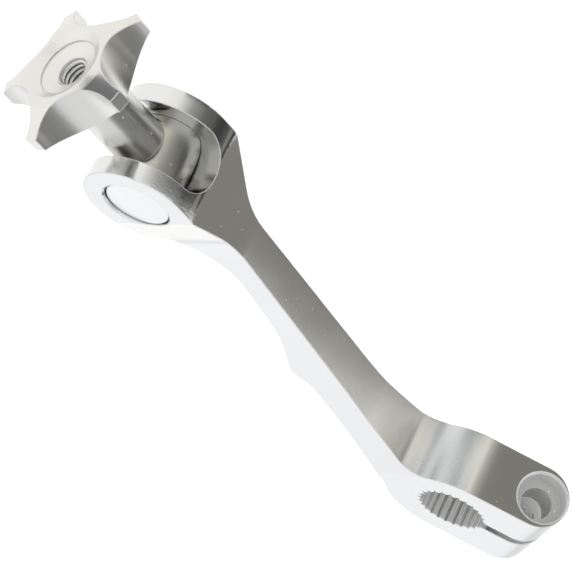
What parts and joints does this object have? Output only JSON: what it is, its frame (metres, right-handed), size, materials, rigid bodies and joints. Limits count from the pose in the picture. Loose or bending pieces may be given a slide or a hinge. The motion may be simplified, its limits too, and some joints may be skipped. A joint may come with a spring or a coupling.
{
  "type": "motorcycle brake arm",
  "caption": "Rear drum brake arm with a split serrated clamp, curved neck and forked end, carrying a barrel pin and a star-shaped adjuster knob.",
  "frame": {"origin": "centre of the serrated bore, half way through the clamp's thickness", "axes": "+Z along the serrated bore, out of the face that the picture shows; +X from the bore to the barrel pin's axis; +Y completes the frame"},
  "size_m": [0.1644, 0.037, 0.0289],
  "materials": {
    "arm_aluminium": "fine machined and polished",
    "pin_aluminium": "satin, turned",
    "knob_aluminium": "fine machined and polished"
  },
  "bodies": {
    "arm": {"arm": "arm_aluminium"},
    "trunnion": {"trunnion": "pin_aluminium"},
    "knob": {"star_knob": "knob_aluminium"}
  },
  "joints": [
    {"name": "trunnion_swing", "type": "hinge", "parent": "arm", "child": "trunnion", "pos_m": [0.1112, 0, 0], "axis": [0, 0, 1], "range_deg": [-85, 85]},
    {"name": "knob_spin", "type": "hinge", "parent": "trunnion", "child": "knob", "pos_m": [0.1169, 0, 0], "axis": [1, 0, 0], "continuous": true}
  ]
}
